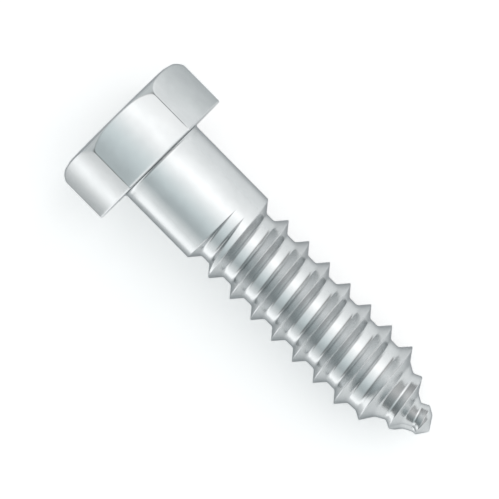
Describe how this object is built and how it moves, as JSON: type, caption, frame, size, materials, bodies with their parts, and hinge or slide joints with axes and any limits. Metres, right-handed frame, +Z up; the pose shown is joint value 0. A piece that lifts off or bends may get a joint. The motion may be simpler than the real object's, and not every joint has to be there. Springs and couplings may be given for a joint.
{
  "type": "lag screw",
  "caption": "Hex head lag screw with a plain shank, a coarse wood thread that runs out into the shank, and a gimlet point.",
  "frame": {"origin": "on the floor, under the middle of the screw's box as it lies at rest", "axes": "+Z up; the screw lies along +X with its head at -X and its point at +X, tip down by 4.51 degrees, on the lower edge of its bearing face and the crest of its last full turn of thread; two flats of the head face up and down"},
  "size_m": [0.0858, 0.032, 0.0285],
  "materials": {
    "zinc_plated_steel": "bright zinc plate, smooth, with a faint cool grey tint"
  },
  "bodies": {
    "root": {"lag_screw": "zinc_plated_steel"}
  },
  "joints": []
}
